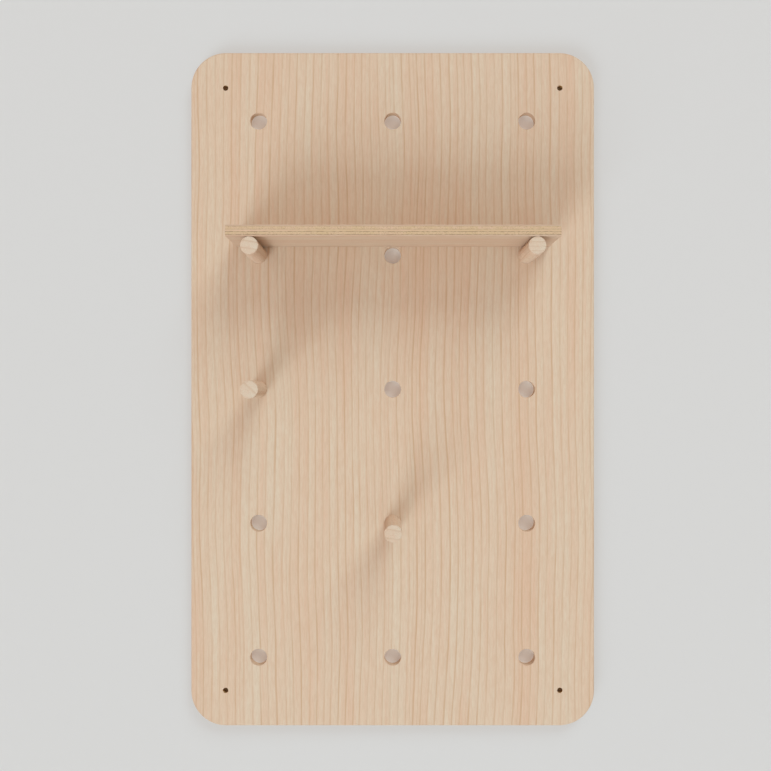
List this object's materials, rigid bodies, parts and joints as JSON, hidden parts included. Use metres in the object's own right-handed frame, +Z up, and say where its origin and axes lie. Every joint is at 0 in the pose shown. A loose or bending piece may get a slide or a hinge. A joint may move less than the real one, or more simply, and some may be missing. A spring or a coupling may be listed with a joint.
{
  "type": "wall pegboard panel with pegs and shelf",
  "caption": "Flat plywood wall panel with a grid of through holes, push-in dowel pegs and a loose shelf board that lies on a pair of pegs.",
  "frame": {"origin": "middle of the panel's back face, on the wall plane and on the axis of the middle peg hole", "axes": "+X to the viewer's right, +Y into the wall, +Z up; the panel faces -Y"},
  "size_m": [0.451, 0.092, 0.753],
  "materials": {
    "panel_plywood": "sanded softwood plywood, bare or matt oiled, face grain upright",
    "shelf_plywood": "sanded softwood plywood, face grain along the board, plies showing at the edges",
    "dowel": "sanded softwood dowel, bare or matt oiled"
  },
  "bodies": {
    "panel": {"pegboard_panel": "panel_plywood"},
    "shelf": {"shelf_board": "shelf_plywood"},
    "shelf_peg_left": {"shelf_peg_left": "dowel"},
    "shelf_peg_right": {"shelf_peg_right": "dowel"},
    "hanging_peg_left": {"hanging_peg_left": "dowel"},
    "hanging_peg_centre": {"hanging_peg_centre": "dowel"}
  },
  "joints": [
    {"name": "shelf_lift", "type": "slide", "parent": "panel", "child": "shelf", "axis": [0, 0, 1], "range_m": [0, 0.06]},
    {"name": "shelf_peg_left_pull", "type": "slide", "parent": "panel", "child": "shelf_peg_left", "axis": [0, -1, 0], "range_m": [0, 0.03]},
    {"name": "shelf_peg_right_pull", "type": "slide", "parent": "panel", "child": "shelf_peg_right", "axis": [0, -1, 0], "range_m": [0, 0.03]},
    {"name": "hanging_peg_left_pull", "type": "slide", "parent": "panel", "child": "hanging_peg_left", "axis": [0, -1, 0], "range_m": [0, 0.03]},
    {"name": "hanging_peg_centre_pull", "type": "slide", "parent": "panel", "child": "hanging_peg_centre", "axis": [0, -1, 0], "range_m": [0, 0.03]}
  ]
}
